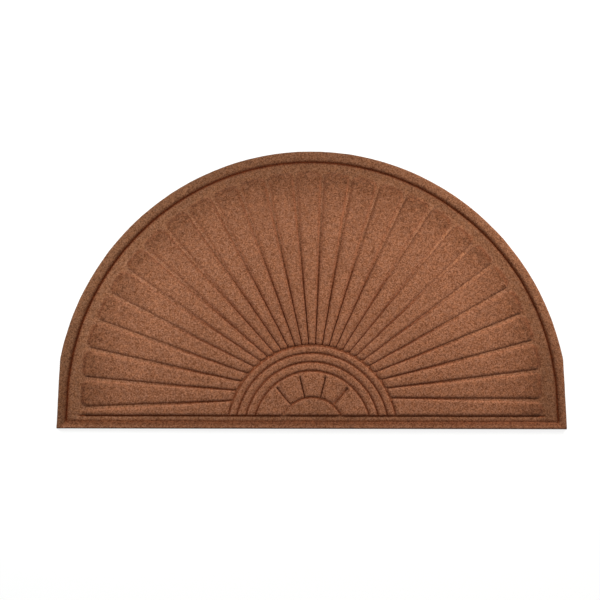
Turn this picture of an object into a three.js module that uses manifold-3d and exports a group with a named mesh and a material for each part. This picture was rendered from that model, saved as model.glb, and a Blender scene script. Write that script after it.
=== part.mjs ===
// Half-round doormat: a moulded fibre face with a pressed fan relief, on a rubber backing.
// Millimetres, +Z up. The plan is drawn from the middle of the straight front edge, with +Y
// towards the round edge. The finished mat is then moved so that its middle is on the Z axis.

import * as THREE from 'three';
import { mergeVertices } from 'three/addons/utils/BufferGeometryUtils.js';
import Module from 'manifold-3d';

// Outline: a straight front edge, two short straight sides and one arc.
const HALF_WIDTH = 495.3;
const ARC_RADIUS = 500.6;
const ARC_CENTRE_Y = 63;
const ARC_STEPS = 60;
const MAT_DEPTH = ARC_CENTRE_Y + ARC_RADIUS;

// Heights above the ground.
const BACKING_THICKNESS = 1.8;
const BOND_GAP = 0.3;
const FACE_BOTTOM = BACKING_THICKNESS + BOND_GAP;
const GROOVE_BOTTOM = 4;
const FLOOR = 5.6;
const PAD_TOP = 9.4;

// Section of the rim, from the cut edge of the face inwards: a soft bead, then a narrow crease,
// then the low floor. The distances hold on the short sides. Each other edge stretches them.
const FACE_EDGE = 1;
const ARC_RIM_STRETCH = 1.16;
const FRONT_RIM_STRETCH = 0.83;
const RIM_SECTION = [
  { across: 0, height: FACE_BOTTOM },
  { across: 0, height: 4.4 },
  { across: 0.9, height: 6.8 },
  { across: 2.8, height: 8.3 },
  { across: 6, height: 9 },
  { across: 10.5, height: 8.8 },
  { across: 14, height: 7.7 },
  { across: 16, height: 5.9 },
  { across: 17, height: GROOVE_BOTTOM },
  { across: 18.4, height: 5 },
  { across: 21, height: FLOOR },
];

// Shoulder of a raised pad, from its root in the face up to its top.
const PAD_ROOT = 3.1;
const PAD_SECTION = [
  { inset: 0, height: PAD_ROOT },
  { inset: 0.5, height: FLOOR + 1.2 },
  { inset: 1.8, height: PAD_TOP - 1 },
  { inset: 4.4, height: PAD_TOP },
];
const CORNER_STEPS = 3;
const SHARPEST_CORNER = 0.8;
const LARGEST_CORNER_SHARE = 0.45;

// Fan: the gaps between the petals spread from one point and widen outwards.
const FAN_CENTRE = new THREE.Vector2(3.4, 63.2);
const FIRST_GAP_DEG = -0.82;
const GAP_PITCH_DEG = 7.368;
const GAP_COUNT = 26;
const GAP_FLARE_DEG = 0.848;
const GAP_CROSSING = 1.3;
const BASE_LINE = 25.5;
const PETAL_START_RADIUS = 167;
const PETAL_END_INSET = 44.3;
const PETAL_START_CORNER = 4;
const PETAL_END_CORNER = 11.5;
// Share of the shoulder's insets that a whole petal, a thin one and a ring or block take.
const PETAL_SHOULDER = 1;
const THIN_PETAL_SHOULDER = 0.45;
const RING_SHOULDER = 0.5;

// Base line: a narrow groove in front of every pad.
const BASE_GROOVE_HALF_LENGTH = 453;
const BASE_GROOVE_OFFSET = 1.2;
const GROOVE_HALF_WIDTH = { bottom: 0.8, top: 1.8 };
const CUT_CLEARANCE = 1;

// Rings, sun blocks and hub round one centre. The front of each is cut off at the base line.
const SUN_CENTRE = new THREE.Vector2(0.7, -1.2);
const RINGS = [
  { inner: 150.9, outer: 163.8 },
  { inner: 133.6, outer: 147.8 },
  { inner: 116.2, outer: 130.4 },
];
const BLOCKS = { inner: 65.6, outer: 113 };
const HUB_RADIUS = 62.6;
const RING_STEPS = 28;
const RING_CORNER = 1.5;

// Slots that part the sun blocks. They stop short of the first ring.
const SLOT_ANGLES_DEG = [50.3, 75, 103, 130];
const SLOT_START_RADIUS = 60;
const SLOT_END_RADIUS = 104;
const SLOT_HALF_WIDTH = { bottom: 0.7, top: 2 };

const radians = THREE.MathUtils.degToRad;
const wasm = await Module();
wasm.setup();

// Plan outline of the mat, drawn in by its own distance at the sides, the arc and the front.
function matOutline(side, arc, front) {
  const halfWidth = HALF_WIDTH - side;
  const radius = ARC_RADIUS - arc;
  const start = Math.acos(halfWidth / radius);
  const outline = [
    new THREE.Vector2(-halfWidth, front),
    new THREE.Vector2(halfWidth, front),
  ];
  for (let step = 0; step <= ARC_STEPS; step += 1) {
    const angle = start + (Math.PI - 2 * start) * (step / ARC_STEPS);
    outline.push(new THREE.Vector2(radius * Math.cos(angle), ARC_CENTRE_Y + radius * Math.sin(angle)));
  }
  return outline;
}

// Closed solid through outlines with one number of points, from the lowest to the highest.
function loft(levels) {
  const count = levels[0].outline.length;
  const positions = levels.flatMap(({ outline, height }) => outline.flatMap((p) => [p.x, p.y, height]));
  const index = [];
  for (let level = 0; level < levels.length - 1; level += 1) {
    for (let i = 0; i < count; i += 1) {
      const a = level * count + i;
      const b = level * count + ((i + 1) % count);
      index.push(a, b, b + count, a, b + count, a + count);
    }
  }
  const top = (levels.length - 1) * count;
  const lowFaces = THREE.ShapeUtils.triangulateShape(levels[0].outline, []);
  const highFaces = THREE.ShapeUtils.triangulateShape(levels[levels.length - 1].outline, []);
  lowFaces.forEach(([a, b, c]) => index.push(a, c, b));
  highFaces.forEach(([a, b, c]) => index.push(top + a, top + b, top + c));
  const geometry = new THREE.BufferGeometry();
  geometry.setAttribute('position', new THREE.Float32BufferAttribute(positions, 3));
  geometry.setIndex(index);
  return geometry;
}

function toSolid(geometry) {
  geometry.deleteAttribute('normal');
  geometry.deleteAttribute('uv');
  const merged = mergeVertices(geometry);
  const vertProperties = new Float32Array(merged.attributes.position.array);
  const triVerts = new Uint32Array(merged.index.array);
  return new wasm.Manifold(new wasm.Mesh({ numProp: 3, vertProperties, triVerts }));
}

function toGeometry(solid) {
  const { vertProperties, triVerts } = solid.getMesh();
  const geometry = new THREE.BufferGeometry();
  geometry.setAttribute('position', new THREE.BufferAttribute(vertProperties, 3));
  geometry.setIndex(new THREE.BufferAttribute(triVerts, 1));
  geometry.computeVertexNormals();
  return geometry;
}

// Outline through the corners, each cut back and turned with a soft curve.
function roundedOutline(corners, inset) {
  return corners.flatMap(({ at, corner }, i) => {
    if (corner === 0) return [at];
    const before = corners[(i + corners.length - 1) % corners.length].at;
    const after = corners[(i + 1) % corners.length].at;
    const room = LARGEST_CORNER_SHARE * Math.min(at.distanceTo(before), at.distanceTo(after));
    const cut = Math.min(Math.max(corner - inset, SHARPEST_CORNER), room);
    const from = at.clone().add(before.clone().sub(at).setLength(cut));
    const to = at.clone().add(after.clone().sub(at).setLength(cut));
    return new THREE.QuadraticBezierCurve(from, at, to).getPoints(CORNER_STEPS);
  });
}

// Raised pad: the outline function gives the plan at each inset of the shoulder.
function pad(outlineAt, shoulder) {
  const levels = PAD_SECTION.map(({ inset, height }) => ({
    outline: outlineAt(inset * shoulder),
    height,
  }));
  return toSolid(loft(levels));
}

// A ray has a start and the way it heads. It is one long side of a petal, or its middle.
function ray(x, y, heading) {
  const way = new THREE.Vector2(Math.cos(heading), Math.sin(heading));
  return { start: new THREE.Vector2(x, y), way };
}

function rayThrough(start, through) {
  return { start, way: through.clone().sub(start).normalize() };
}

function midpoint(a, b) {
  return a.clone().lerp(b, 0.5);
}

function pointAlong({ start, way }, distance) {
  return start.clone().addScaledVector(way, distance);
}

// One side of a gap, moved into the petal by the inset. Turn is 1 where the petal lies
// anticlockwise of the gap and -1 where it lies clockwise.
function gapSide(gap, turn, inset) {
  const heading = radians(FIRST_GAP_DEG + gap * GAP_PITCH_DEG + turn * GAP_FLARE_DEG);
  const shift = turn * (inset - GAP_CROSSING);
  return ray(FAN_CENTRE.x - shift * Math.sin(heading), FAN_CENTRE.y + shift * Math.cos(heading), heading);
}

function baseSide(heading, inset) {
  return ray(0, BASE_LINE + inset, heading);
}

function distanceToCircle({ start, way }, centre, radius) {
  const offset = start.clone().sub(centre);
  const towards = offset.dot(way);
  return Math.sqrt(towards * towards - offset.lengthSq() + radius * radius) - towards;
}

// A petal ends at one distance from the mat's outline, on the arc and beside the short sides.
function distanceToEnd(line, inset) {
  const margin = PETAL_END_INSET + inset;
  const arcCentre = new THREE.Vector2(0, ARC_CENTRE_Y);
  const toArc = distanceToCircle(line, arcCentre, ARC_RADIUS - margin);
  const sideX = Math.sign(line.way.x) * (HALF_WIDTH - margin);
  return Math.min(toArc, (sideX - line.start.x) / line.way.x);
}

function petalOutline(first, last, inset) {
  const startRadius = PETAL_START_RADIUS + inset;
  const start = (line) => pointAlong(line, distanceToCircle(line, SUN_CENTRE, startRadius));
  const end = (line) => pointAlong(line, distanceToEnd(line, inset));
  const middle = rayThrough(midpoint(start(first), start(last)), midpoint(end(first), end(last)));
  const corners = [
    { at: start(first), corner: PETAL_START_CORNER },
    { at: end(first), corner: PETAL_END_CORNER },
    { at: end(middle), corner: 0 },
    { at: end(last), corner: PETAL_END_CORNER },
    { at: start(last), corner: PETAL_START_CORNER },
  ];
  return roundedOutline(corners, inset);
}

// Whole petals between the gaps, and the two part petals that the base line cuts off.
function petals() {
  const whole = [];
  for (let gap = 0; gap < GAP_COUNT - 1; gap += 1) {
    const outlineAt = (inset) => petalOutline(gapSide(gap, 1, inset), gapSide(gap + 1, -1, inset), inset);
    whole.push(pad(outlineAt, PETAL_SHOULDER));
  }
  const firstPart = (inset) => petalOutline(baseSide(0, inset), gapSide(0, -1, inset), inset);
  const lastPart = (inset) => petalOutline(gapSide(GAP_COUNT - 1, 1, inset), baseSide(Math.PI, inset), inset);
  return [...whole, pad(firstPart, PETAL_SHOULDER), pad(lastPart, THIN_PETAL_SHOULDER)];
}

// Points on an arc round the sun's centre, from the base line up and over to the base line.
function arcPoints(radius, inset) {
  const start = Math.asin((BASE_LINE + inset - SUN_CENTRE.y) / radius);
  return Array.from({ length: RING_STEPS + 1 }, (_, step) => {
    const angle = start + (Math.PI - 2 * start) * (step / RING_STEPS);
    return new THREE.Vector2(Math.cos(angle), Math.sin(angle)).multiplyScalar(radius).add(SUN_CENTRE);
  });
}

// Only the ends of an arc, where it meets the base line, are corners.
function withEndCorners(points) {
  return points.map((at, i) => ({ at, corner: i === 0 || i === points.length - 1 ? RING_CORNER : 0 }));
}

function ringOutline({ inner, outer }, inset) {
  const over = withEndCorners(arcPoints(outer - inset, inset));
  const back = withEndCorners(arcPoints(inner + inset, inset).reverse());
  return roundedOutline([...over, ...back], inset);
}

function hubOutline(inset) {
  return roundedOutline(withEndCorners(arcPoints(HUB_RADIUS - inset, inset)), inset);
}

function slot(angleDeg) {
  const plan = (halfWidth) => [
    new THREE.Vector2(SLOT_START_RADIUS, -halfWidth),
    new THREE.Vector2(SLOT_END_RADIUS, -halfWidth),
    new THREE.Vector2(SLOT_END_RADIUS + halfWidth, 0),
    new THREE.Vector2(SLOT_END_RADIUS, halfWidth),
    new THREE.Vector2(SLOT_START_RADIUS, halfWidth),
  ];
  const geometry = loft([
    { outline: plan(SLOT_HALF_WIDTH.bottom), height: FLOOR },
    { outline: plan(SLOT_HALF_WIDTH.top), height: PAD_TOP },
    { outline: plan(SLOT_HALF_WIDTH.top), height: PAD_TOP + CUT_CLEARANCE },
  ]);
  geometry.rotateZ(radians(angleDeg));
  geometry.translate(SUN_CENTRE.x, SUN_CENTRE.y, 0);
  return toSolid(geometry);
}

function sunBlocks() {
  const blocks = pad((inset) => ringOutline(BLOCKS, inset), RING_SHOULDER);
  return SLOT_ANGLES_DEG.reduce((solid, angleDeg) => solid.subtract(slot(angleDeg)), blocks);
}

function baseGroove() {
  const y = BASE_LINE - BASE_GROOVE_OFFSET;
  const plan = (halfWidth) => [
    new THREE.Vector2(-BASE_GROOVE_HALF_LENGTH, y - halfWidth),
    new THREE.Vector2(BASE_GROOVE_HALF_LENGTH, y - halfWidth),
    new THREE.Vector2(BASE_GROOVE_HALF_LENGTH, y + halfWidth),
    new THREE.Vector2(-BASE_GROOVE_HALF_LENGTH, y + halfWidth),
  ];
  return toSolid(loft([
    { outline: plan(GROOVE_HALF_WIDTH.bottom), height: GROOVE_BOTTOM },
    { outline: plan(GROOVE_HALF_WIDTH.top), height: FLOOR },
    { outline: plan(GROOVE_HALF_WIDTH.top), height: FLOOR + CUT_CLEARANCE },
  ]));
}

// Sheet of the face with its rim bead and crease, before the fan is raised on it.
function faceSheet() {
  const levels = RIM_SECTION.map(({ across, height }) => ({
    outline: matOutline(
      FACE_EDGE + across,
      FACE_EDGE + across * ARC_RIM_STRETCH,
      FACE_EDGE + across * FRONT_RIM_STRETCH,
    ),
    height,
  }));
  return toSolid(loft(levels));
}

function buildFace() {
  const rings = RINGS.map((ring) => pad((inset) => ringOutline(ring, inset), RING_SHOULDER));
  const hub = pad(hubOutline, RING_SHOULDER);
  const raised = [...petals(), ...rings, sunBlocks(), hub];
  const sheet = faceSheet().subtract(baseGroove());
  const geometry = toGeometry(raised.reduce((solid, piece) => solid.add(piece), sheet));
  const fibre = new THREE.MeshStandardMaterial({ color: 0x936145, roughness: 0.95, metalness: 0 });
  const face = new THREE.Mesh(geometry, fibre);
  face.name = 'face';
  return face;
}

function buildBacking() {
  const sheet = loft([
    { outline: matOutline(0, 0, 0), height: 0 },
    { outline: matOutline(0, 0, 0), height: BACKING_THICKNESS },
  ]);
  sheet.computeVertexNormals();
  const rubber = new THREE.MeshStandardMaterial({ color: 0x232120, roughness: 0.75, metalness: 0 });
  const backing = new THREE.Mesh(sheet, rubber);
  backing.name = 'backing';
  return backing;
}

const mat = new THREE.Group();
[buildBacking(), buildFace()].forEach((piece) => {
  piece.position.y = -MAT_DEPTH / 2;
  mat.add(piece);
});

export default mat;
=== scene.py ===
"""Half-round doormat: a moulded needle-punched fibre face with a pressed fan relief, on black rubber.

The constants are in millimetres from the middle of the straight front edge, with +Y to the round
edge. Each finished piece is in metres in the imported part's frame.
"""

import math

import bmesh
import bpy
import numpy as np
from mathutils import Matrix, Vector, noise
from mathutils.geometry import delaunay_2d_cdt
from mathutils.kdtree import KDTree


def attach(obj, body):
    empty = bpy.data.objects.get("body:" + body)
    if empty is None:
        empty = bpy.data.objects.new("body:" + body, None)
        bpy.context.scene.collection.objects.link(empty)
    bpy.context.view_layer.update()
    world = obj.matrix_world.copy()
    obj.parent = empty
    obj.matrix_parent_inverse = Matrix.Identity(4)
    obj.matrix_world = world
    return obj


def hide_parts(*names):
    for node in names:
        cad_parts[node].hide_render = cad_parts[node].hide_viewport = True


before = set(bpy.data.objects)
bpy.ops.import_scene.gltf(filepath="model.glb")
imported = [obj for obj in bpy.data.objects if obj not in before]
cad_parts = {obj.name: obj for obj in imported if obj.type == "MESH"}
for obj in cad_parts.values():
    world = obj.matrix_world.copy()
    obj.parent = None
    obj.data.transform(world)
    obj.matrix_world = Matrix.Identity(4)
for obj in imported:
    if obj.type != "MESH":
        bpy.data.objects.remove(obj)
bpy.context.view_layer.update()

MM = 0.001

# Outline of the mat, and how far inside it the fibre face is cut.
HALF_WIDTH = 495.3
ARC_RADIUS = 500.6
ARC_CENTRE_Y = 63.0
MAT_DEPTH = ARC_CENTRE_Y + ARC_RADIUS
FACE_EDGE = 1.0

# Heights above the ground: the face's underside, a groove, the low ground and the pads.
FACE_BOTTOM = 2.1
GROOVE_BOTTOM = 4.0
LOW_GROUND = 5.6
PAD_TOP = 9.4

# Rim section: how far in from the face's cut edge, and the height there. Each edge stretches the
# distances by its own amount. The arc does so a little less to the right, from the first to the
# second of the two cosines of its direction.
RIM_ACROSS = (
    0, 0.4, 1.0, 2.0, 3.6, 6.0, 9.0, 11.5, 13.5, 15.0, 16.0, 16.7, 17.2, 17.8, 18.6, 19.8, 21.5, 24.0,
)
RIM_HEIGHT = (
    5.2, 6.8, 7.7, 8.3, 8.7, 8.9, 8.9, 8.8, 8.4, 7.5, 6.1, 4.7, 4.0, 4.2, 4.7, 5.2, 5.5, 5.6,
)
FRONT_RIM_HEIGHT = (
    5.2, 6.7, 7.6, 8.2, 8.4, 8.3, 7.9, 7.5, 7.1, 6.7, 6.3, 5.9, 5.4, 4.9, 4.65, 4.75, 5.1, 5.4,
)
CREASE = 17.2
FRONT_BLEND = 6.0
ARC_RIM_STRETCH = 1.355
LEFT_RIM_STRETCH = 1.035
RIGHT_RIM_STRETCH = 0.905
FRONT_RIM_STRETCH = 0.67
RIM_LEAN = 0.085
RIM_LEAN_COSINE = (0.55, 0.95)

# Fan: the gaps between the petals spread from one point and widen outwards. Each gap sways a
# little off the even pitch, as the real ones do.
FAN_CENTRE = (2.9, 62.0)
FIRST_GAP_DEG = -0.77
GAP_PITCH_DEG = 7.348
GAP_COUNT = 26
SWAY_AT_GAP = (0, 4, 5, 8, 10, 12, 14, 16, 18, 20, 22, 25)
SWAY_DEG = (-0.1, 0.1, 0.12, -0.2, -0.16, -0.03, 0.18, 0.28, 0.24, -0.05, 0, 0.06)
GAP_FLARE_DEG = 0.62
GAP_CROSSING = 0.95
BASE_LINE = 26.0
PETAL_START_RADIUS = 166.2
PETAL_START_CORNER = 4.0
PETAL_END_INSET = 44.3
PETAL_END_CORNER = 11.5

# Base groove, in front of every pad, shallower at the two feet of the hub.
BASE_GROOVE_Y = 24.8
BASE_GROOVE_HALF_WIDTH = 1.5
BASE_GROOVE_HALF_LENGTH = 453.0
BASE_GROOVE_END_BLEND = 5.0
HUB_FOOT_X = 54.0
HUB_FOOT_HALF_WIDTH = 6.0
HUB_FOOT_EASE = 0.75

# Rings, sun blocks and hub round one centre. The groove at the hub's left flank is almost closed.
SUN_CENTRE = (0.9, -2.4)
RINGS = ((150.2, 162.4), (132.9, 147.1), (115.5, 129.7))
RING_GROOVES = (164.2, 148.65, 131.3, 113.9)
RING_CORNER = 1.5
BLOCKS = (64.6, 112.3)
HUB_RADIUS = 61.2
HUB_GROOVE = 62.9
LOW_HUB_FROM_DEG = 41.0
LOW_HUB_BLEND_DEG = 6.0
LOW_HUB_HALF_WIDTH = 4.0
LOW_HUB_FILL = 0.2

# Slots between the sun blocks: the direction of each and half its width.
SLOTS = ((49.6, 2.2), (75.7, 1.3), (103.1, 1.3), (130.1, 1.5))
SLOT_END_RADIUS = 105.0
SLOT_DEPTH = 1.2

# Shoulder: a pad rises from its foot to its crown in this distance. A petal's outer end has a
# longer and softer slope, which takes over between the two distances from its end line.
PETAL_SHOULDER = 5.5
RING_SHOULDER = 3.6
END_SHOULDER = 9.0
END_SLOPE_INSET = (11.0, 7.0)

# Narrow grooves: the widths at which a gap counts as narrow and as wide, and how much deeper a
# narrow one is pressed. Those in the sun are shallower, and those straight above it the deepest.
NARROW_GAP = (2.6, 6.2)
NARROW_SUN_GAP = (4.0, 6.5)
NARROW_REACH = 1.1
NARROW_DEPTH = 0.35
NARROW_SUN_DEPTH = -0.5
ABOVE_SUN_DEPTH = 1.0
ABOVE_SUN_RADIUS = (260, 175)
ABOVE_SUN_HALF_WIDTH = 75

# Unevenness of the moulded face: size, amount and seed of the soft waves in its height, and of
# the wander of its lines. The waves start inside the cut edge and are weaker on the low ground.
SWELLS = ((26.0, 0.22, 1.3), (8.0, 0.16, 5.7))
WANDERS = ((34.0, 0.4, 11.0), (12.0, 0.22, 17.0))
WANDER_SEED_STEP = 3
SWELL_START = 3.0
SWELL_ON_LOW_GROUND = 0.35

# Spacing of the mesh: along the lines of the relief, up a shoulder, and in the even fill between
# the lines, whose rows are staggered.
LINE_STEP = 4.2
SLOT_STEP = 2.4
SLOT_TIP_STEP_DEG = 15
SIDEWAYS_DEG = 90
SLOT_LINE_START = 1.0
FEWEST_STEPS = 3
RIM_SAMPLES = 900
SUN_ARC_SAMPLES = 120
SUN_LINE_LIFT = 0.4
SHOULDER_INSETS = (-1.1, 0.0, 0.22, 0.7, 1.6, 3.2, 5.4)
BASE_GROOVE_LINES = (-2.4, -1.5, -0.8, 0.0, 0.6)
GAP_LINE_START = 1.2
GAP_LINE_PAST_END = 4.0
VALLEY_CLEARANCE = 0.9
FILL_STEP = 4.6
FILL_ROW_STEP = FILL_STEP * math.sqrt(3) / 2
FILL_CLEARANCE = 2.4
FILL_START = 2.0
MERGE_WITHIN = 0.02
LINE_TOLERANCE = 0.08

# Settling a line onto a pad's inset: trial step, rounds and the least slope that is trusted. The
# last two keep a division off zero.
SETTLE_STEP = 0.05
SETTLE_ROUNDS = 4
SETTLE_LEAST_SLOPE = 0.2
LEAST_RADIUS = 1.0
LEAST_COSINE = 0.01

# Marks for the material. First the pressed ones: the crease, the narrow grooves, the soft dips
# along the front and side edges, and the dark line at the foot of a pad. The dips and the foot line
# are painted shade; the crease and the grooves are partly the pressed fibre's darker tone and partly
# painted shade.
CREASE_HALF_WIDTH = 2.2
RING_SHARE = 0.66
GAP_SHARE = 0.66
LOW_HUB_EASE = 0.6
FRONT_SHADE = 0.6
FRONT_SHADE_Y = (4, 12, 15.5, 19)
SIDE_SHADE = 0.35
SIDE_SHADE_ACROSS = (5.0, 16.5, 18.0, 24.0)
SIDE_SHADE_FADE = 80.0
FOOT_SHADE = 0.28
FOOT_HALF_WIDTH = 1.6
TOP_FOOT_SHADE = 0.37
TOP_FOOT_INSET = 0.9
TOP_FOOT_HALF_WIDTH = 2.5
TOP_FOOT_DEG = (45, 75, 138, 152)

# Painted shade: the dark line round a petal's outer end. It is faintest at the top of the fan, where
# less shade falls, and it takes the place of most of the foot's own line.
END_LINE_SHADE = 0.4
END_LINE_INSET = 5.6
END_LINE_HALF_WIDTH = 2.8
END_LINE_FADE = (15, 7)
END_LINE_AT_TOP = 0.25
END_LINE_FULL_X = 380
END_FOOT_EASE = 0.6

# Dense marks: the rim, the low band round the fan, the front border, the hub, and the outer ends
# of the gaps. The rim's and the band's change by their lean from the middle to the right edge,
# and the gap ends' from left to right as listed. The rim's lean is painted shade, darker to the
# left; the gap ends' change is painted shadow, strongest at the top and the right edge; and the two
# rows for the front ease the rim's dark near the front edge with painted light.
RIM_DENSE = 0.81
RIM_SHADE_LEAN = -0.19
RIM_FOOT = 4.0
# Painted light: the rim is paler near the front edge, by how far in from it.
FRONT_PAINTED_LIGHT_Y = (3, 6, 8, 10, 12)
FRONT_PAINTED_LIGHT = (0.85, 0.5, 0.3, 0.1, 0)
BAND_DENSE = 0.93
BAND_DENSE_LEAN = 0.05
BAND_EDGE_INSET = 0.5
BAND_EDGE_BLEND = 10.0
BORDER_DENSE = 0.58
BORDER_DENSE_Y = (27, 23)
HUB_DENSE = 0.2
GAP_END_INSET = (0, 6, 12, 20, 34, 60)
GAP_END_DENSE = (0.86, 0.8, 0.64, 0.42, 0.18, 0)
GAP_END_X = (-450, 0, 250, 450)
GAP_END_SHADOW_ACROSS = (0.78, 1.02, 0.88, 1.05)

# Loft of the petals by the distance inside their end line, how far inside a pad it starts, and
# where the soft slope at a petal's end counts as raised.
LOFT_INSET = (0, 8, 20, 32, 60, 110, 300)
LOFT_SHARE = (1.12, 1.08, 0.92, 0.68, 0.38, 0.09, 0)
ON_PAD = (-0.6, 2.4)
END_RAISED_BLEND = 2.0
END_RAISED_INSET = (14.0, 10.0)

# Broken edge of the rubber sheet, and what counts as one point, as flat, as sharp and as smooth.
BACKING_EDGE = 0.35
BACKING_EDGE_SEGMENTS = 3
ONE_POINT = 0.01
FLAT_DEG = 0.5
SHARP_DEG = 60
SMOOTH_DEG = 40

# Noises of the fibre, each with its size, detail and roughness: clumps between the needle holes,
# slow patches of tone, patches of hue, blotches on the petal ends, and the bend of the fibres.
CLUMP = (3.0, 3.0, 0.62)
PATCH = (45.0, 2.0, 0.5)
HUE_PATCH = (8.0, 3.0, 0.6)
BLOTCH = (9.0, 2.0, 0.5)
SWIRL = (7.0, 1.0, 0.5)
SWIRL_REACH = 5.0
FIBRE_LENGTH = 7.0
FIBRE_WIDTH = 0.45
FIBRE_DETAIL = 1.0
FIBRE_TURNS_DEG = (12, 71, 134)
FIBRE_RELIEF = 0.35
PILE_RELIEF = 0.9
TUFT = 1.6
TUFT_SMOOTHNESS = 0.5

# How each noise turns into a share or a tone: the range it has, and the range it is given.
LIGHT_RANGE = ((0.55, 1.45), (0.0, 1.0))
PALE_RANGE = ((0.62, 0.74), (0.0, 0.42))
HUE_RANGE = ((0.35, 0.65), (0.0, 1.0))
TONE_RANGE = ((0.3, 0.7), (0.95, 1.05))
BLOTCH_RANGE = ((0.35, 0.65), (0.55, 1.15))
ROUGH_RANGE = ((0.0, 1.0), (0.45, 1.0))

# Brown of the dark, light and pale fibres.
FIBRE_DARK = "#663b24"
FIBRE_LIGHT = "#a06b4f"
FIBRE_PALE = "#d09c78"

# What is left of the brown's red, green and blue: on the low ground, on the dense band, on the dense
# rim, in a pressed groove, on the lofty petal ends, and in the redder and olive patches. The low
# ground's is partly its flatter, paler pile and partly painted light against the valleys' shade; the
# groove's is partly the pressed fibre and partly painted shade.
VALLEY_PALE_AND_LIT_TINT = (1.20, 1.28, 1.30, 1)
BORDER_TINT = (0.495, 0.48, 0.45, 1)
RIM_TINT = (0.55, 0.58, 0.55, 1)
GROOVE_AND_SHADE_TINT = (0.5, 0.21, 0.05, 1)
LOFT_TINT = (0.52, 0.48, 0.42, 1)
REDDER_TINT = (1.03, 0.985, 0.92, 1)
OLIVE_TINT = (0.97, 1.015, 1.09, 1)
WHITE = (1, 1, 1, 1)
FIBRE_SHEEN = {
    "Roughness": 0.93,
    "IOR": 1.49,
    "Specular IOR Level": 0.08,
    "Sheen Weight": 0.04,
    "Sheen Roughness": 0.5,
}

# Rubber: grain of the roll, faint bloom with its size, detail and roughness, and the two blacks.
RUBBER_GRAIN = 0.8
RUBBER_GRAIN_DEPTH = 0.12
RUBBER_GRAIN_STRENGTH = 0.8
RUBBER_BLOOM = (30.0, 4.0, 0.5)
RUBBER_BLACK = "#1c1b1a"
RUBBER_WORN = "#2b2a28"
RUBBER_SHEEN = {"Roughness": 0.62, "IOR": 1.52}

# Studio, as on a copy stand: two low soft boxes beside the mat, at its back edge and a little
# behind it, over a light table. Each box has a name, a place and a size in metres, its power in
# watts and its tint. The table's size is in metres too.
SOFT_BOXES = (
    ("soft_box_right", (0.82, 0.48, 0.46), 0.45, 13.2, (1, 0.985, 0.93)),
    ("soft_box_left", (-0.80, 0.28, 0.44), 0.45, 8.0, (0.94, 1, 1)),
)
AMBIENT = 0.39
TABLE_SIZE = 12.0
TABLE_DROP = 0.2
TABLE_GREY = "#8a8a89"
TABLE_WHITE = "#ffffff"
TABLE_ROUGHNESS = 0.9
TABLE_GLOW = 0.8

# Camera: matched to the outline in the photograph, which is 600 by 600.
SENSOR = 36.0
LENS = 42.05
VIEW_TARGET = (-23.2, 253.5)
VIEW_ELEVATION_DEG = 81.01
VIEW_YAW_DEG = -0.43
VIEW_ROLL_DEG = 0.535
VIEW_DISTANCE = 1401.4

# Sockets of a colour mix, and the whole plan as the kind of triangulation.
MIX_SHARE, MIX_FIRST, MIX_SECOND, MIX_RESULT = 0, 6, 7, 2
WHOLE_PLAN = 0


def direction(degrees):
    angle = math.radians(degrees)
    return np.array((math.cos(angle), math.sin(angle)))


def ramp(value, start, end):
    """0 up to the start and 1 from the end on, with a soft S between them."""
    share = np.clip((value - start) / (end - start), 0, 1)
    return share * share * (3 - 2 * share)


def fade(distance, width):
    """0 on the near side of a line and 1 on its far side, with a soft S as wide as given."""
    return ramp(distance, -width / 2, width / 2)


def bell(distance, half_width):
    """1 on a line, falling away to 0 on both sides."""
    return np.exp(-((distance / half_width) ** 2))


def between(value, places):
    """1 between the two middle places and 0 outside the outer two."""
    return np.interp(value, places, (0, 1, 1, 0))


def evenly(points, step, closed=True):
    """Points at an even spacing along a line through the given ones."""
    points = np.asarray(points, float)
    if closed:
        points = np.vstack((points, points[:1]))
    lengths = np.hypot(*np.diff(points, axis=0).T)
    run = np.concatenate(([0.0], np.cumsum(lengths)))
    count = max(FEWEST_STEPS, round(run[-1] / step))
    at = np.linspace(0.0, run[-1], count + 1)
    if closed:
        at = at[:-1]
    return np.stack((np.interp(at, run, points[:, 0]), np.interp(at, run, points[:, 1])), axis=-1)


def rounded(a, b, radius):
    """Distance inside two sides that meet in a round corner."""
    corner = radius - np.hypot(np.maximum(radius - a, 0), np.maximum(radius - b, 0))
    nearer = np.minimum(a, b)
    return np.where(np.maximum(a, b) < radius, np.minimum(nearer, corner), nearer)


def arc_stretch(cosine):
    """Stretch of the rim's section at each place on the arc, given the cosine of its direction."""
    return ARC_RIM_STRETCH * (1 - RIM_LEAN * ramp(cosine, *RIM_LEAN_COSINE))


def across_rim(x, y):
    """How far in across the rim a point lies, in the section's own distances."""
    right = (HALF_WIDTH - FACE_EDGE - x) / RIGHT_RIM_STRETCH
    left = (HALF_WIDTH - FACE_EDGE + x) / LEFT_RIM_STRETCH
    radius = np.hypot(x, np.maximum(y - ARC_CENTRE_Y, 0))
    arc = (ARC_RADIUS - FACE_EDGE - radius) / arc_stretch(x / np.maximum(radius, LEAST_RADIUS))
    front = (y - FACE_EDGE) / FRONT_RIM_STRETCH
    return np.minimum(np.minimum(np.minimum(right, left), arc), front)


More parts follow.
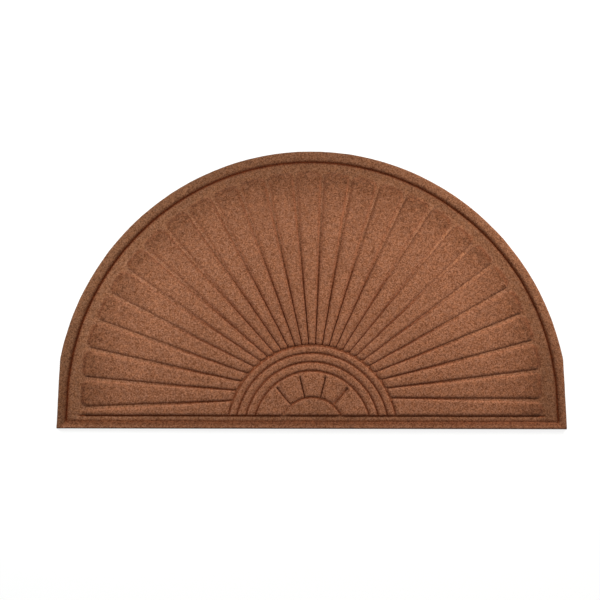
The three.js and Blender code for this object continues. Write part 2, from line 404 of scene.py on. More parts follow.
def rim_line(across):
    """Even points right round the mat at a distance across the rim, with sharp front corners."""
    angles = np.linspace(0, math.pi, RIM_SAMPLES)
    cosine = np.cos(angles)
    side = HALF_WIDTH - FACE_EDGE - across * np.where(cosine > 0, RIGHT_RIM_STRETCH, LEFT_RIM_STRETCH)
    arc = ARC_RADIUS - FACE_EDGE - across * arc_stretch(cosine)
    radius = np.minimum(arc, side / np.maximum(np.abs(cosine), LEAST_COSINE))
    over = np.stack((radius * cosine, ARC_CENTRE_Y + radius * np.sin(angles)), axis=-1)
    front = FACE_EDGE + across * FRONT_RIM_STRETCH
    corners = np.array(((over[0, 0], front), (over[-1, 0], front)))
    round_edge = evenly(np.vstack((corners[:1], over, corners[1:])), LINE_STEP, closed=False)
    front_edge = evenly(corners[::-1], LINE_STEP, closed=False)
    return np.vstack((round_edge[:-1], front_edge[:-1]))


def end_distance(x, y):
    """How far a point lies inside the line on which the petals end."""
    arc = ARC_RADIUS - PETAL_END_INSET - np.hypot(x, y - ARC_CENTRE_Y)
    return np.minimum(arc, HALF_WIDTH - PETAL_END_INSET - np.abs(x))


def sun_radius(x, y):
    return np.hypot(x - SUN_CENTRE[0], y - SUN_CENTRE[1])


def gap_angle(gap):
    """Heading of a gap in degrees."""
    return FIRST_GAP_DEG + gap * GAP_PITCH_DEG + float(np.interp(gap, SWAY_AT_GAP, SWAY_DEG))


def gap_side(gap, turn):
    """Start and heading of one side of a gap, and which way its petal lies."""
    way = direction(gap_angle(gap) + turn * GAP_FLARE_DEG)
    normal = turn * np.array((-way[1], way[0]))
    return np.array(FAN_CENTRE) - GAP_CROSSING * normal, way, normal


def base_side(sign):
    """The base line as one side of the lowest petal, to the right or to the left."""
    return np.array((0.0, BASE_LINE)), np.array((float(sign), 0.0)), np.array((0.0, 1.0))


def hit_circle(start, way, centre, radius):
    """Where a line that starts inside a circle leaves it."""
    offset = start - np.array(centre)
    towards = offset @ way
    return start + way * (math.sqrt(towards**2 - offset @ offset + radius**2) - towards)


def hit_end(start, way, inset):
    """Where a line meets the petals' end line, or a line this far inside it."""
    margin = PETAL_END_INSET + inset
    on_arc = hit_circle(start, way, (0.0, ARC_CENTRE_Y), ARC_RADIUS - margin)
    side_x = math.copysign(HALF_WIDTH - margin, way[0])
    if abs(on_arc[0]) <= abs(side_x):
        return on_arc
    return start + way * ((side_x - start[0]) / way[0])


class Pad:
    """A raised pad: how far inside it a point lies, and its plan outline at an inset."""

    def __init__(self, distance, corners, shoulder):
        self.distance = distance
        self.corners = corners
        self.shoulder = shoulder

    def contour(self, inset):
        """Even points on the line that lies this far inside the pad, round its corners too."""
        points = evenly(self.corners(inset), LINE_STEP)
        for _ in range(SETTLE_ROUNDS):
            x, y = points.T
            here = self.distance(x, y)
            to_right = self.distance(x + SETTLE_STEP, y) - here
            to_back = self.distance(x, y + SETTLE_STEP) - here
            slope = np.stack((to_right, to_back), axis=-1) / SETTLE_STEP
            steepness = np.maximum((slope**2).sum(axis=1), SETTLE_LEAST_SLOPE)
            points = points + slope * ((inset - here) / steepness)[:, None]
        return points


def petal(first, last):
    """The pad between two lines of the fan."""

    def distance(x, y):
        sides = []
        for start, _, normal in (first, last):
            sides.append((x - start[0]) * normal[0] + (y - start[1]) * normal[1])
        ahead = (x - FAN_CENTRE[0]) * first[1][0] + (y - FAN_CENTRE[1]) * first[1][1]
        inside = rounded(np.minimum(*sides), end_distance(x, y), PETAL_END_CORNER)
        inside = rounded(inside, sun_radius(x, y) - PETAL_START_RADIUS, PETAL_START_CORNER)
        return np.minimum(inside, ahead)

    def corners(inset):
        lines = [(start + normal * inset, way) for start, way, normal in (first, last)]
        starts = [hit_circle(start, way, SUN_CENTRE, PETAL_START_RADIUS + inset) for start, way in lines]
        ends = [hit_end(start, way, inset) for start, way in lines]
        middle = (ends[0] + ends[1]) / 2 - (starts[0] + starts[1]) / 2
        top = hit_end((starts[0] + starts[1]) / 2, middle / np.hypot(*middle), inset)
        return [starts[0], ends[0], top, ends[1], starts[1]]

    return Pad(distance, corners, PETAL_SHOULDER)


def sun_arc(radius, inset):
    """Points on an arc round the sun's centre, from the base line up and over to the base line."""
    start = math.asin((BASE_LINE + inset - SUN_CENTRE[1]) / radius)
    angles = np.linspace(start, math.pi - start, SUN_ARC_SAMPLES)
    return np.array(SUN_CENTRE) + radius * np.stack((np.cos(angles), np.sin(angles)), axis=-1)


def ring(inner, outer, slots=()):
    """A half ring that stands on the base line, with slots cut into it."""

    def distance(x, y):
        radius = sun_radius(x, y)
        inside = rounded(np.minimum(outer - radius, radius - inner), y - BASE_LINE, RING_CORNER)
        for slot in slots:
            inside = np.minimum(inside, slot_distance(x, y, *slot))
        return inside

    def corners(inset):
        return np.vstack((sun_arc(outer - inset, inset), sun_arc(inner + inset, inset)[::-1]))

    return Pad(distance, corners, RING_SHOULDER)


def hub():
    """The half disc in the middle of the sun."""

    def distance(x, y):
        return rounded(HUB_RADIUS - sun_radius(x, y), y - BASE_LINE, RING_CORNER)

    return Pad(distance, lambda inset: sun_arc(HUB_RADIUS - inset, inset), RING_SHOULDER)


def slot_distance(x, y, degrees, half_width):
    """Distance from a slot's edge. The slot is a short straight groove that starts at the hub."""
    way = direction(degrees)
    along = (x - SUN_CENTRE[0]) * way[0] + (y - SUN_CENTRE[1]) * way[1]
    beside = (y - SUN_CENTRE[1]) * way[0] - (x - SUN_CENTRE[0]) * way[1]
    past_end = np.maximum(along - SLOT_END_RADIUS, 0)
    before_start = np.maximum(HUB_RADIUS - along, 0)
    return np.hypot(beside, past_end + before_start) - half_width


def all_pads():
    petals = [petal(gap_side(gap, 1), gap_side(gap + 1, -1)) for gap in range(GAP_COUNT - 1)]
    petals.append(petal(base_side(1), gap_side(0, -1)))
    petals.append(petal(gap_side(GAP_COUNT - 1, 1), base_side(-1)))
    rings = [ring(inner, outer) for inner, outer in RINGS]
    return petals + rings + [ring(*BLOCKS, slots=SLOTS), hub()]


def nearest_pads(pads, x, y):
    """Share of the full rise of the nearest pad, its distance, and the next pad's distance.

    A pad has a round shoulder, and a petal slopes off softly at its outer end.
    """
    distances = np.stack([pad.distance(x, y) for pad in pads])
    order = np.argsort(-distances, axis=0)
    first = np.take_along_axis(distances, order[:1], axis=0)[0]
    second = np.take_along_axis(distances, order[1:2], axis=0)[0]
    shoulder = np.array([pad.shoulder for pad in pads])[order[0]]
    round_rise = np.sqrt(1 - (1 - np.clip(first / shoulder, 0, 1)) ** 2)
    soft_rise = ramp(first, 0, END_SHOULDER)
    at_end = ramp(end_distance(x, y), *END_SLOPE_INSET)
    return round_rise + (soft_rise - round_rise) * at_end, first, second


def base_groove(x, y):
    """Share of the base groove's depth, fading out past its ends."""
    across = bell(y - BASE_GROOVE_Y, BASE_GROOVE_HALF_WIDTH)
    along = fade(BASE_GROOVE_HALF_LENGTH - np.abs(x), BASE_GROOVE_END_BLEND)
    at_hub_foot = bell(np.abs(x - SUN_CENTRE[0]) - HUB_FOOT_X, HUB_FOOT_HALF_WIDTH)
    return across * along * (1 - HUB_FOOT_EASE * at_hub_foot)


def front_share(x, y):
    """1 where the front edge is the nearest one and 0 along the sides, turning over at the corners."""
    beside = (HALF_WIDTH - FACE_EDGE - np.abs(x)) - (y - FACE_EDGE) / FRONT_RIM_STRETCH
    return fade(beside, FRONT_BLEND)


def above_sun(x, y):
    """1 where the gaps start straight above the sun, pressed the deepest, fading to 0 around."""
    return ramp(sun_radius(x, y), *ABOVE_SUN_RADIUS) * bell(x, ABOVE_SUN_HALF_WIDTH)


def low_hub(x, y):
    """1 in the groove at the hub's low left flank, where it is shallow and soft."""
    off_top = np.degrees(np.arctan2(SUN_CENTRE[0] - x, y - SUN_CENTRE[1]))
    across = bell(sun_radius(x, y) - HUB_GROOVE, LOW_HUB_HALF_WIDTH)
    return fade(off_top - LOW_HUB_FROM_DEG, LOW_HUB_BLEND_DEG) * across


def narrow_gap(first, second, in_sun):
    """1 at the bottom of a narrow groove, where the fibre is pressed hardest, and 0 in a wide one."""
    width = np.maximum(-(first + second), 0)
    narrow = np.where(in_sun, NARROW_SUN_GAP[0], NARROW_GAP[0])
    wide = np.where(in_sun, NARROW_SUN_GAP[1], NARROW_GAP[1])
    return ramp(width, wide, narrow) * ramp(first, NARROW_REACH, 0)


def relief_height(pads, x, y):
    """Height of the face above the ground at each point."""
    across = across_rim(x, y)
    rim = np.interp(across, RIM_ACROSS, RIM_HEIGHT)
    front_rim = np.interp(across, RIM_ACROSS, FRONT_RIM_HEIGHT)
    rim = rim + (front_rim - rim) * front_share(x, y)
    share, first, second = nearest_pads(pads, x, y)
    height = rim + (PAD_TOP - LOW_GROUND) * np.maximum(share, LOW_HUB_FILL * low_hub(x, y))
    for degrees, half_width in SLOTS:
        height = height - SLOT_DEPTH * ramp(slot_distance(x, y, degrees, half_width), 0, -half_width)
    in_sun = sun_radius(x, y) <= PETAL_START_RADIUS
    depth = np.where(in_sun, NARROW_SUN_DEPTH, NARROW_DEPTH + ABOVE_SUN_DEPTH * above_sun(x, y))
    height = height - depth * narrow_gap(first, second, in_sun) * (across > CREASE)
    return height - (LOW_GROUND - GROOVE_BOTTOM) * base_groove(x, y) * (share == 0)


def relief_lines(pads):
    """Lines that the mesh follows: (points, closed), on the slopes and creases of the relief."""
    lines = [(rim_line(across), True) for across in RIM_ACROSS]
    for pad in pads:
        for inset in SHOULDER_INSETS:
            if inset > pad.shoulder:
                continue
            points = pad.contour(inset)
            _, first, second = nearest_pads(pads, *points.T)
            kept = np.abs(first - inset) < LINE_TOLERANCE
            if inset < 0:
                kept &= second < inset - VALLEY_CLEARANCE
            lines += split_at(points, kept)
    for gap in range(GAP_COUNT):
        way = direction(gap_angle(gap))
        start = hit_circle(np.array(FAN_CENTRE), way, SUN_CENTRE, RING_GROOVES[0] + GAP_LINE_START)
        end = hit_end(np.array(FAN_CENTRE), way, -GAP_LINE_PAST_END)
        lines.append((evenly((start, end), LINE_STEP, closed=False), False))
    for radius in (*RING_GROOVES, HUB_GROOVE):
        lines.append((evenly(sun_arc(radius, SUN_LINE_LIFT), LINE_STEP, closed=False), False))
    for degrees, half_width in SLOTS:
        lines += slot_lines(pads, degrees, half_width)
    for offset in BASE_GROOVE_LINES:
        y = BASE_GROOVE_Y + offset
        ends = ((-BASE_GROOVE_HALF_LENGTH, y), (BASE_GROOVE_HALF_LENGTH, y))
        lines.append((evenly(ends, LINE_STEP, closed=False), False))
    return lines


def slot_lines(pads, degrees, half_width):
    """The middle of a slot, and lines round it up the shoulders of the blocks on both sides."""
    way = direction(degrees)
    beside = np.array((-way[1], way[0]))
    radii = (HUB_GROOVE + SLOT_LINE_START, SLOT_END_RADIUS)
    ends = [np.array(SUN_CENTRE) + way * radius for radius in radii]
    lines = [(evenly(ends, SLOT_STEP, closed=False), False)]
    turns = np.radians(np.arange(-SIDEWAYS_DEG, SIDEWAYS_DEG + 1, SLOT_TIP_STEP_DEG))
    for inset in SHOULDER_INSETS[1:]:
        if inset > RING_SHOULDER:
            continue
        reach = half_width + inset
        tip = [ends[1] + reach * (way * math.cos(t) + beside * math.sin(t)) for t in turns]
        around = [ends[0] - beside * reach, *tip, ends[0] + beside * reach]
        points = evenly(around, SLOT_STEP, closed=False)
        _, first, _ = nearest_pads(pads, *points.T)
        lines += split_at(points, np.abs(first - inset) < LINE_TOLERANCE, closed=False)
    return lines


def split_at(points, kept, closed=True):
    """The runs of points that are kept, as lines of their own."""
    if kept.all():
        return [(points, closed)]
    if closed:
        shift = int(np.argmin(kept))
        points = np.roll(points, -shift, axis=0)
        kept = np.roll(kept, -shift)
    runs = []
    start = None
    for i, keep in enumerate(list(kept) + [False]):
        if keep and start is None:
            start = i
        if not keep and start is not None:
            if i - start > 1:
                runs.append((points[start:i], False))
            start = None
    return runs


def fill_points(line_points):
    """Points in a staggered grid over the face, clear of the relief's lines."""
    tree = KDTree(len(line_points))
    for i, (x, y) in enumerate(line_points):
        tree.insert((x, y, 0), i)
    tree.balance()
    rows = np.arange(0, MAT_DEPTH, FILL_ROW_STEP)
    columns = np.arange(-HALF_WIDTH, HALF_WIDTH, FILL_STEP)
    grid = np.array([(x + FILL_STEP / 2 * (row % 2), y) for row, y in enumerate(rows) for x in columns])
    grid = grid[across_rim(*grid.T) > FILL_START]
    return [p for p in grid if tree.find((p[0], p[1], 0))[2] > FILL_CLEARANCE]


def face_plan(pads):
    """Points and triangles of the face in plan. The first points are its cut edge, in order."""
    points = []
    edges = []
    for line, closed in relief_lines(pads):
        first = len(points)
        points.extend(line)
        edges += [(first + i, first + i + 1) for i in range(len(line) - 1)]
        if closed:
            edges.append((first + len(line) - 1, first))
    points += fill_points(points)
    found = delaunay_2d_cdt([Vector(p) for p in points], edges, [], WHOLE_PLAN, MERGE_WITHIN)
    return np.array([tuple(v) for v in found[0]]), [tuple(f) for f in found[2]]


def waves(x, y, size, seed):
    """Smooth noise from -1 to 1 at each point, with bumps of the given size."""
    return np.array([noise.noise(Vector((a / size, b / size, seed))) for a, b in zip(x, y)])


def groove_mark(x, y, across, first, second):
    """Narrow grooves between the pads, and the slots in the sun blocks: pressed fibre and painted shade.
    """
    in_sun = sun_radius(x, y) <= PETAL_START_RADIUS
    groove = narrow_gap(first, second, in_sun) * (across > CREASE) * (1 - LOW_HUB_EASE * low_hub(x, y))
    # Painted shade in the gaps' grooves, full where the gaps start straight above the sun.
    groove = groove * np.where(in_sun, RING_SHARE, GAP_SHARE + (1 - GAP_SHARE) * above_sun(x, y))
    for degrees, half_width in SLOTS:
        slot = RING_SHARE * fade(-slot_distance(x, y, degrees, half_width), half_width)
        groove = np.maximum(groove, slot)
    return groove


def edge_mark(x, y, across):
    """The rim's crease, partly pressed fibre and partly painted shade, and painted shade in the soft
    dips along the front edge and the short straight sides.
    """
    front = front_share(x, y)
    # The crease's dark is partly the pressed fibre and partly painted shade.
    crease = bell(across - CREASE, CREASE_HALF_WIDTH) * (1 - front)
    # Painted shade in the dips along the front edge and the short straight sides.
    at_front = front * FRONT_SHADE * between(y, FRONT_SHADE_Y)
    at_side = SIDE_SHADE * ramp(y, ARC_CENTRE_Y + SIDE_SHADE_FADE, ARC_CENTRE_Y)
    at_side = (1 - front) * at_side * between(across, SIDE_SHADE_ACROSS)
    return np.maximum(crease, at_front + at_side)


def foot_mark(x, y, first):
    """Painted shade: the dark line at the foot of a pad, wider at the top of the fan, and round a
    petal's end.
    """
    in_fan = sun_radius(x, y) > PETAL_START_RADIUS
    heading = np.degrees(np.arctan2(y - FAN_CENTRE[1], x - FAN_CENTRE[0]))
    # Painted shade at the foot of each pad.
    foot = FOOT_SHADE * bell(first, FOOT_HALF_WIDTH)
    top_foot = TOP_FOOT_SHADE * bell(first - TOP_FOOT_INSET, TOP_FOOT_HALF_WIDTH)
    foot = foot + (top_foot - foot) * between(heading, TOP_FOOT_DEG) * in_fan
    near_end = ramp(end_distance(x, y), *END_LINE_FADE) * in_fan
    beside_top = np.minimum(np.abs(x) / END_LINE_FULL_X, 1)
    # Painted shade round a petal's outer end.
    end_line = END_LINE_SHADE * bell(first - END_LINE_INSET, END_LINE_HALF_WIDTH) * near_end
    end_line = end_line * (END_LINE_AT_TOP + (1 - END_LINE_AT_TOP) * beside_top)
    return np.maximum(foot * (1 - END_FOOT_EASE * near_end), end_line)


def dense_mark(x, y, across, on_pad):
    """The rim, the band round the fan, the front border, the hub and the ends of the gaps, with painted
    shade on the rim's left, painted light on the rim by the front and painted shadow in the gap ends.
    """
    end = end_distance(x, y)
    in_fan = sun_radius(x, y) > PETAL_START_RADIUS
    band = fade(BAND_EDGE_INSET - end, BAND_EDGE_BLEND) * (BAND_DENSE + BAND_DENSE_LEAN * x / HALF_WIDTH)
    # Painted shadow in the gap ends, strongest at the top and the right edge.
    gap_end = np.interp(end, GAP_END_INSET, GAP_END_DENSE) * np.interp(x, GAP_END_X, GAP_END_SHADOW_ACROSS)
    gap_end = gap_end * in_fan * (1 - on_pad)
    border = BORDER_DENSE * ramp(y, *BORDER_DENSE_Y)
    middle = HUB_DENSE * (sun_radius(x, y) < HUB_RADIUS)
    ground = np.max((band, gap_end, border, middle), axis=0)
    # Painted light: the rim is paler near the front edge.
    front_painted_light = front_share(x, y) * np.interp(y, FRONT_PAINTED_LIGHT_Y, FRONT_PAINTED_LIGHT)
    # Painted shade: the rim is darker towards the left edge.
    rim = (RIM_DENSE + RIM_SHADE_LEAN * x / HALF_WIDTH) * (1 - front_painted_light)
    return np.where(across < CREASE, rim, ground)


def face_marks(pads, x, y):
    """What the material reads at each point of the face.

    pressed: narrow grooves and the crease, where the fibre is pressed hardest and looks darkest,
    with painted shade there, at the pads' feet, round the petal ends and along the front and sides
    dense: the rim and the low ground by the edge, which are pressed flatter and darker than the fan,
    with painted shade on the rim's left, painted light on the rim by the front and painted shadow
    in the gap ends
    raised: pads and rim, where the pile is roughest
    loft: the ends of the petals, where the pile is left lofty and mottled
    """
    share, first, second = nearest_pads(pads, x, y)
    across = across_rim(x, y)
    end = end_distance(x, y)
    on_pad = ramp(first, *ON_PAD)
    groove = groove_mark(x, y, across, first, second)
    edge = edge_mark(x, y, across)
    foot = foot_mark(x, y, first)
    end_slope = fade(first, END_RAISED_BLEND) * ramp(end, *END_RAISED_INSET)
    rim = ramp(across, CREASE, CREASE - RIM_FOOT)
    in_fan = sun_radius(x, y) > PETAL_START_RADIUS
    return {
        # The pressed mark carries painted shade as well as the pressed fibre's own tone.
        "pressed": np.max((edge, foot, groove, base_groove(x, y)), axis=0),
        "dense": dense_mark(x, y, across, on_pad),
        "raised": np.max((share, rim, end_slope), axis=0),
        "loft": np.interp(end, LOFT_INSET, LOFT_SHARE) * on_pad * in_fan,
    }


def fibre_face():
    """The face as one closed sheet: the relief, its cut edge and a flat underside."""
    pads = all_pads()
    plan, triangles = face_plan(pads)
    x, y = plan.T
    height = relief_height(pads, x, y)
    marks = face_marks(pads, x, y)
    inner = ramp(across_rim(x, y), 0, SWELL_START)
    swell_share = SWELL_ON_LOW_GROUND + (1 - SWELL_ON_LOW_GROUND) * marks["raised"]
    for size, amount, seed in SWELLS:
        height = height + amount * waves(x, y, size, seed) * inner * swell_share
    moved_x = x
    moved_y = y
    for size, amount, seed in WANDERS:
        moved_x = moved_x + amount * waves(x, y, size, seed)
        moved_y = moved_y + amount * waves(x, y, size, seed + WANDER_SEED_STEP)
    points = np.stack((moved_x, moved_y - MAT_DEPTH / 2, height), axis=-1) * MM
    mesh = bpy.data.meshes.new("fibre_face")
    mesh.from_pydata(points.tolist(), [], triangles)
    for name, values in marks.items():
        stored = mesh.attributes.new(name, "FLOAT", "POINT")
        stored.data.foreach_set("value", values.astype(np.float32))
    close_underneath(mesh, FACE_BOTTOM * MM)
    mesh.shade_smooth()
    piece = bpy.data.objects.new("fibre_face", mesh)
    bpy.context.scene.collection.objects.link(piece)
    return piece


def close_underneath(mesh, height):
    """Draws the open edge of a sheet straight down to a height and closes it there."""
    shell = bmesh.new()
    shell.from_mesh(mesh)
    rim = [edge for edge in shell.edges if edge.is_boundary]
    drawn = bmesh.ops.extrude_edge_only(shell, edges=rim)["geom"]
    for vertex in drawn:
        if isinstance(vertex, bmesh.types.BMVert):
            vertex.co.z = height
    low_rim = [edge for edge in drawn if isinstance(edge, bmesh.types.BMEdge) and edge.is_boundary]
    bmesh.ops.edgeloop_fill(shell, edges=low_rim)
    bmesh.ops.recalc_face_normals(shell, faces=shell.faces)
    for edge in low_rim:
        edge.smooth = False
    shell.to_mesh(mesh)
    shell.free()


def rubber_backing():
    """The rubber sheet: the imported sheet's own shape with its sharp edges just broken."""
    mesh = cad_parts["backing"].data.copy()
    mesh.name = "rubber_backing"
    piece = bpy.data.objects.new("rubber_backing", mesh)
    bpy.context.scene.collection.objects.link(piece)
    select_only(piece)
    bpy.ops.object.mode_set(mode="EDIT")
    bpy.ops.mesh.select_all(action="SELECT")
    bpy.ops.mesh.remove_doubles(threshold=ONE_POINT * MM)
    bpy.ops.mesh.dissolve_limited(angle_limit=math.radians(FLAT_DEG))
    bpy.ops.object.mode_set(mode="OBJECT")
    bevel = piece.modifiers.new("broken edge", "BEVEL")
    bevel.width = BACKING_EDGE * MM
    bevel.segments = BACKING_EDGE_SEGMENTS
    bevel.limit_method = "ANGLE"
    bevel.angle_limit = math.radians(SHARP_DEG)
    bpy.ops.object.modifier_apply(modifier=bevel.name)
    bpy.ops.object.shade_smooth_by_angle(angle=math.radians(SMOOTH_DEG))
    return piece


def select_only(piece):
    bpy.ops.object.select_all(action="DESELECT")
    piece.select_set(True)
    bpy.context.view_layer.objects.active = piece


def srgb(code):
    """Linear colour of an sRGB hex code, by the curve of the sRGB standard."""
    shares = [int(code[i : i + 2], 16) / 255 for i in (1, 3, 5)]
    linear = [s / 12.92 if s <= 0.04045 else ((s + 0.055) / 1.055) ** 2.4 for s in shares]
    return (*linear, 1.0)


def node(tree, kind, inputs=None, **settings):
    """Adds a node with its settings. An input is a value, or another node's output to link."""
    made = tree.nodes.new(kind)
    for name, value in settings.items():
        setattr(made, name, value)
    for socket, value in (inputs or {}).items():
        if isinstance(value, bpy.types.NodeSocket):
            tree.links.new(value, made.inputs[socket])
        else:
            made.inputs[socket].default_value = value
    return made


def mottle(tree, place, size, detail, roughness, output="Fac"):
    """Noise with spots of the given size."""
    return node(tree, "ShaderNodeTexNoise", {
        "Vector": place, "Scale": 1 / (size * MM), "Detail": detail, "Roughness": roughness,
    }).outputs[output]


def ranged(tree, value, has, given):
    """A value carried over from the range it has to the range it is given."""
    return node(tree, "ShaderNodeMapRange", {
        "Value": value, "From Min": has[0], "From Max": has[1], "To Min": given[0], "To Max": given[1],
    }).outputs[0]


def mixed(tree, share, first, second):
    """The first colour, with a share of the second mixed into it."""
    return node(tree, "ShaderNodeMix", {
        MIX_SHARE: share, MIX_FIRST: first, MIX_SECOND: second,
    }, data_type="RGBA").outputs[MIX_RESULT]


def tinted(tree, colour, tint):
    """A colour multiplied by a tint."""
    return node(tree, "ShaderNodeVectorMath", {
        0: colour, 1: tint,
    }, operation="MULTIPLY").outputs["Vector"]


def arithmetic(tree, operation, *values, **settings):
    """One step of arithmetic on single values."""
    inputs = dict(enumerate(values))
    return node(tree, "ShaderNodeMath", inputs, operation=operation, **settings).outputs[0]


def mark(tree, name):
    """One of the marks that are stored on the points of the face."""
    return node(tree, "ShaderNodeAttribute", attribute_name=name).outputs["Fac"]


def place_on_piece(tree):
    return node(tree, "ShaderNodeTexCoord").outputs["Object"]


def new_material(name):
    """An empty material and its node tree."""
    material = bpy.data.materials.new(name)
    material.use_nodes = True
    material.node_tree.nodes.clear()
    return material, material.node_tree


def give_surface(tree, inputs):
    """Gives a material its surface."""
    shader = node(tree, "ShaderNodeBsdfPrincipled", inputs)
    node(tree, "ShaderNodeOutputMaterial", {"Surface": shader.outputs[0]})


def fibre_strands(tree, bent):
    """Single fibres that lie in three crossing directions."""
    strands = None
    stretch = (FIBRE_LENGTH * MM, FIBRE_WIDTH * MM, FIBRE_LENGTH * MM)
    for turn in FIBRE_TURNS_DEG:
        lane = node(tree, "ShaderNodeMapping", {
            "Vector": bent,
            "Rotation": (0, 0, math.radians(turn)),
            "Scale": tuple(1 / side for side in stretch),
        }, vector_type="TEXTURE").outputs["Vector"]
        lane = node(tree, "ShaderNodeTexNoise", {
            "Vector": lane, "Scale": 1.0, "Detail": FIBRE_DETAIL,
        }).outputs["Fac"]
        strands = lane if strands is None else arithmetic(tree, "MAXIMUM", strands, lane)
    return strands


def needle_punched_polypropylene():
    """Solution-dyed polypropylene staple, needle-punched and pressed hot: matt, heathered, slightly
    tufted. Pressed grooves are dense and dark, with painted shade added in them and at the pads'
    feet, and the lofty petal ends are mottled."""
    material, tree = new_material("needle_punched_polypropylene")
    place = place_on_piece(tree)
    raised = mark(tree, "raised")

    # Clumps of fibre between the needle holes, drawn about 3 mm wide so that they show.
    clumps = mottle(tree, place, *CLUMP)

    # Single fibres, bent by a slow swirl. They are drawn wider than real ones for the same reason.
    swirl = mottle(tree, place, *SWIRL, output="Color")
    reach = SWIRL_REACH * MM
    bent = node(tree, "ShaderNodeVectorMath", {
        0: swirl, 1: (reach, reach, reach), 2: place,
    }, operation="MULTIPLY_ADD").outputs["Vector"]
    strands = fibre_strands(tree, bent)

    # Tufts of mixed dark and light fibre, each with a tone of its own.
    tuft = node(tree, "ShaderNodeTexVoronoi", {
        "Vector": bent, "Scale": 1 / (TUFT * MM), "Smoothness": TUFT_SMOOTHNESS,
    }, feature="SMOOTH_F1").outputs["Color"]
    tuft = node(tree, "ShaderNodeSeparateColor", {"Color": tuft}).outputs["Red"]
    light_share = ranged(tree, arithmetic(tree, "ADD", tuft, clumps), *LIGHT_RANGE)
    colour = mixed(tree, light_share, srgb(FIBRE_DARK), srgb(FIBRE_LIGHT))
    colour = mixed(tree, ranged(tree, strands, *PALE_RANGE), colour, srgb(FIBRE_PALE))

    # Slow patches of tone and of hue all over.
    tone = ranged(tree, mottle(tree, place, *PATCH), *TONE_RANGE)
    colour = node(tree, "ShaderNodeVectorMath", {
        0: colour, "Scale": tone,
    }, operation="SCALE").outputs["Vector"]
    hue_share = ranged(tree, mottle(tree, place, *HUE_PATCH), *HUE_RANGE)
    hue = mixed(tree, hue_share, REDDER_TINT, OLIVE_TINT)

    # The petal ends stand lofty, darker in blotches. The low ground is a little paler, partly by its
    # flatter pile and partly by painted light against the valleys' shade. The dense edge and the grooves
    # are pressed dark, with painted shade added in the grooves, the crease, at the pads' feet, round the
    # petal ends, along the front and side edges and on the rim's left, and painted light by the front.
    blotch = ranged(tree, mottle(tree, place, *BLOTCH), *BLOTCH_RANGE)
    blotch = arithmetic(tree, "MULTIPLY", blotch, mark(tree, "loft"), use_clamp=True)
    sunk = arithmetic(tree, "SUBTRACT", 1.0, raised)
    border = mixed(tree, raised, BORDER_TINT, RIM_TINT)
    shades = (
        (blotch, LOFT_TINT),
        # Painted light on the low ground, with its paler pile.
        (sunk, VALLEY_PALE_AND_LIT_TINT),
        (mark(tree, "dense"), border),
        # The pressed mark: the pressed fibre's tone and painted shade together.
        (mark(tree, "pressed"), GROOVE_AND_SHADE_TINT),
    )
    for share, tint in shades:
        colour = tinted(tree, colour, mixed(tree, share, WHITE, tint))
    colour = tinted(tree, colour, hue)

    # The pile is rough on the pads and pressed smoother in the valleys and grooves.
    lumps = arithmetic(tree, "MULTIPLY", clumps, ranged(tree, raised, *ROUGH_RANGE))
    pile = arithmetic(tree, "MULTIPLY_ADD", strands, FIBRE_RELIEF, lumps)
    bump = node(tree, "ShaderNodeBump", {"Height": pile, "Distance": PILE_RELIEF * MM, "Strength": 1.0})
    give_surface(tree, {"Base Color": colour, "Normal": bump.outputs["Normal"], **FIBRE_SHEEN})
    return material


def calendered_rubber():
    """Nitrile rubber sheet, calendered on a fine fabric-finish roll: black, matt, faint grain."""
    material, tree = new_material("calendered_nitrile_rubber")
    place = place_on_piece(tree)
    bloom = mottle(tree, place, *RUBBER_BLOOM)
    colour = mixed(tree, bloom, srgb(RUBBER_BLACK), srgb(RUBBER_WORN))
    grain = node(tree, "ShaderNodeTexVoronoi", {
        "Vector": place, "Scale": 1 / (RUBBER_GRAIN * MM),
    }).outputs["Distance"]
    bump = node(tree, "ShaderNodeBump", {
        "Height": grain, "Distance": RUBBER_GRAIN_DEPTH * MM, "Strength": RUBBER_GRAIN_STRENGTH,
    })
    give_surface(tree, {"Base Color": colour, "Normal": bump.outputs["Normal"], **RUBBER_SHEEN})
    return material


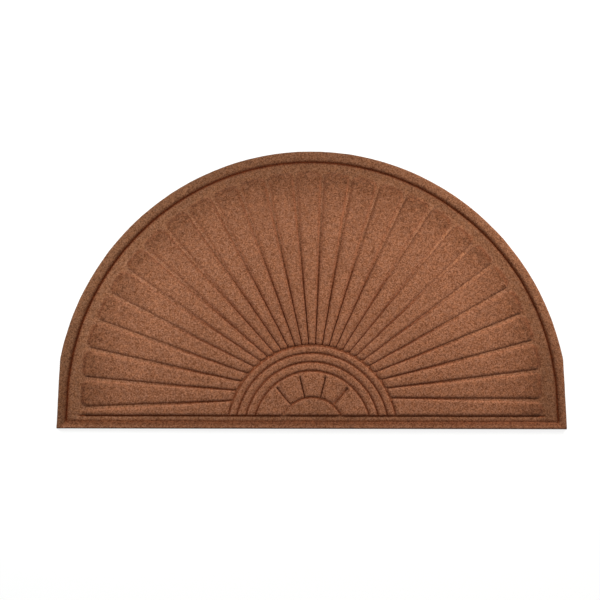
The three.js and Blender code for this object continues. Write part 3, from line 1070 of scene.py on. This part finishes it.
def light_table():
    """A plain pale floor, a hair below the mat so that no two faces share a plane."""
    bpy.ops.object.select_all(action="DESELECT")
    bpy.ops.mesh.primitive_plane_add(size=TABLE_SIZE, location=(0, 0, -TABLE_DROP * MM))
    table = bpy.context.object
    table.name = "floor"
    # White paint, rolled on and lit from below: even, without shine or a pattern of its own.
    material, tree = new_material("matt_white_paint")
    give_surface(tree, {
        "Base Color": srgb(TABLE_GREY),
        "Roughness": TABLE_ROUGHNESS,
        "Emission Color": srgb(TABLE_WHITE),
        "Emission Strength": TABLE_GLOW,
    })
    table.data.materials.append(material)


def soft_light(name, place, size, power, tint):
    """A square soft box that faces the middle of the mat, out of sight of the camera."""
    light = bpy.data.lights.new(name, "AREA")
    light.shape = "SQUARE"
    light.size = size
    light.energy = power
    light.color = tint
    holder = bpy.data.objects.new(name, light)
    away = Vector(place)
    holder.matrix_world = Matrix.Translation(away) @ away.to_track_quat("Z", "Y").to_matrix().to_4x4()
    holder.visible_camera = False
    bpy.context.scene.collection.objects.link(holder)


def studio():
    """The light table, the soft boxes and an even light from all round."""
    light_table()
    for box in SOFT_BOXES:
        soft_light(*box)
    world = bpy.data.worlds.new("studio")
    world.use_nodes = True
    background = world.node_tree.nodes["Background"]
    background.inputs["Color"].default_value = WHITE
    background.inputs["Strength"].default_value = AMBIENT
    bpy.context.scene.world = world
    bpy.context.scene.view_settings.view_transform = "Standard"


def look_down_camera():
    """The photograph's view: from the front, steeply down, a little left of the middle."""
    camera = bpy.data.cameras.new("camera")
    camera.sensor_width = SENSOR
    camera.lens = LENS
    target = Vector((VIEW_TARGET[0], VIEW_TARGET[1] - MAT_DEPTH / 2, 0)) * MM
    lift = math.radians(VIEW_ELEVATION_DEG)
    yaw = math.radians(VIEW_YAW_DEG)
    back = Vector((math.sin(yaw) * math.cos(lift), -math.cos(yaw) * math.cos(lift), math.sin(lift)))
    roll = Matrix.Rotation(math.radians(VIEW_ROLL_DEG), 4, "Z")
    turn = back.to_track_quat("Z", "Y").to_matrix().to_4x4() @ roll
    holder = bpy.data.objects.new("camera", camera)
    holder.matrix_world = Matrix.Translation(target + back * VIEW_DISTANCE * MM) @ turn
    bpy.context.scene.collection.objects.link(holder)
    bpy.context.scene.camera = holder


look_down_camera()
studio()

backing = rubber_backing()
backing.data.materials.clear()
backing.data.materials.append(calendered_rubber())
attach(backing, "root")
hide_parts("backing")

face = fibre_face()
face.data.materials.append(needle_punched_polypropylene())
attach(face, "root")
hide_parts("face")
